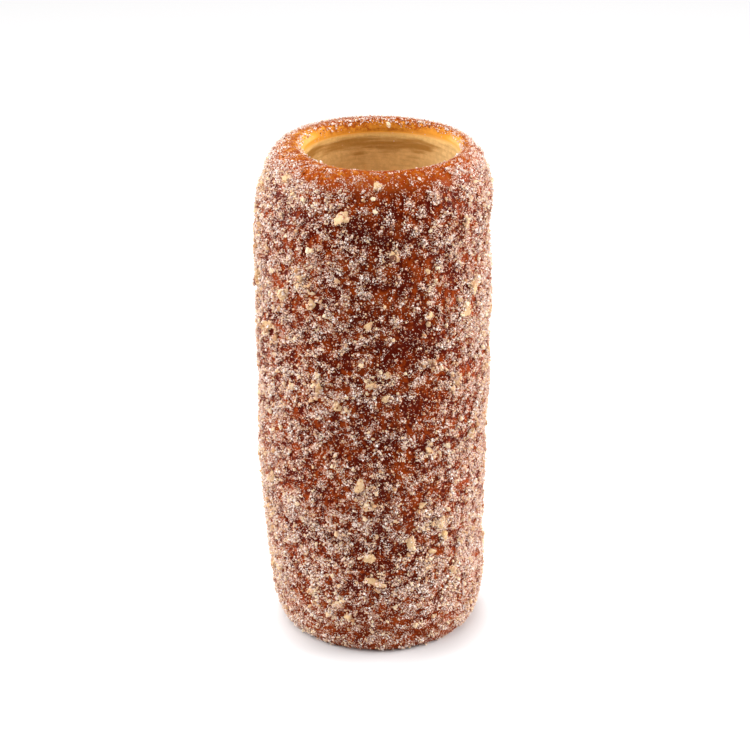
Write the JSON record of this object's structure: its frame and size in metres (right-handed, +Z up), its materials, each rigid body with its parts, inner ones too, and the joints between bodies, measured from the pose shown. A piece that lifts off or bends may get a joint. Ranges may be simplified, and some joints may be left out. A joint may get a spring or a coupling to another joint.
{
  "type": "chimney cake",
  "caption": "Tall hollow cake of wound yeast dough with a sugared, nut-strewn crust and a bore right through it.",
  "frame": {"origin": "middle of the outline of the base, on the surface that the cake stands on", "axes": "+Z up along the tube; the side that the picture shows faces -Y, with +X to its right"},
  "size_m": [0.0872, 0.0872, 0.188],
  "materials": {
    "sugared_crust": "reddish brown caramel crust under coarse sugar crystals, ground nut and chopped nut, with a golden lip and a tan bore"
  },
  "bodies": {
    "root": {"cake": "sugared_crust"}
  },
  "joints": []
}
